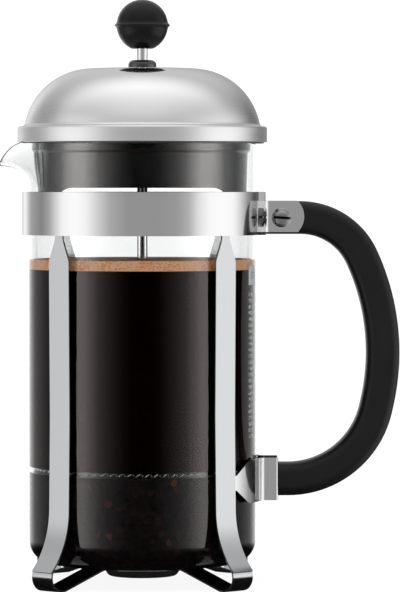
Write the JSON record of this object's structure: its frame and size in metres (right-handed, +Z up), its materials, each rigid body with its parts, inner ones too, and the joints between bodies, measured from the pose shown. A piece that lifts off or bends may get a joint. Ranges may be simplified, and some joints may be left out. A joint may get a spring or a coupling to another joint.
{
  "type": "french press",
  "caption": "Plunger coffee press: glass beaker with a spout in a polished steel frame, domed steel lid, round knob and black loop handle.",
  "frame": {"origin": "on the beaker's axis, at the surface that the feet stand on", "axes": "+Z up along the beaker and plunger axis, +X towards the handle, -X towards the spout"},
  "size_m": [0.1695, 0.106, 0.2476],
  "materials": {
    "frame_steel": "bright polished stainless sheet",
    "dome_steel": "finely spun, near mirror",
    "rod_steel": "ground and polished",
    "screw_steel": "turned",
    "filter_steel": "rolled sheet",
    "mesh_steel": "woven wire",
    "spring_steel": "drawn wire",
    "handle_plastic": "satin moulded black",
    "knob_plastic": "semi gloss black",
    "lid_plastic": "smooth moulded black",
    "glass": "clear borosilicate",
    "brass": "turned"
  },
  "bodies": {
    "frame": {"frame_band": "frame_steel", "leg_front_left": "frame_steel", "leg_front_right": "frame_steel", "leg_rear_left": "frame_steel", "leg_rear_right": "frame_steel", "base_plate": "frame_steel", "lower_bracket": "frame_steel", "handle": "handle_plastic", "handle_screw": "screw_steel", "handle_nut": "screw_steel"},
    "beaker": {"beaker": "glass"},
    "guide": {"rod_guide": "lid_plastic", "guide_clip": "spring_steel"},
    "lid": {"lid_dome": "dome_steel", "lid_insert": "lid_plastic"},
    "plunger": {"knob": "knob_plastic", "knob_insert": "brass", "rod": "rod_steel", "rod_collar": "rod_steel", "spiral_plate": "filter_steel", "edge_spring": "spring_steel", "mesh_filter": "mesh_steel", "cross_plate": "filter_steel", "hub_nut": "rod_steel"}
  },
  "joints": [
    {"name": "beaker_lift", "type": "slide", "parent": "frame", "child": "beaker", "axis": [0, 0, 1], "range_m": [0, 0.17]},
    {"name": "lid_lift", "type": "slide", "parent": "beaker", "child": "guide", "axis": [0, 0, 1], "range_m": [0, 0.16]},
    {"name": "lid_turn", "type": "hinge", "parent": "guide", "child": "lid", "pos_m": [0, 0, 0.19], "axis": [0, 0, 1], "continuous": true},
    {"name": "plunger_slide", "type": "slide", "parent": "guide", "child": "plunger", "axis": [0, 0, 1], "range_m": [-0.0043, 0.106]}
  ]
}
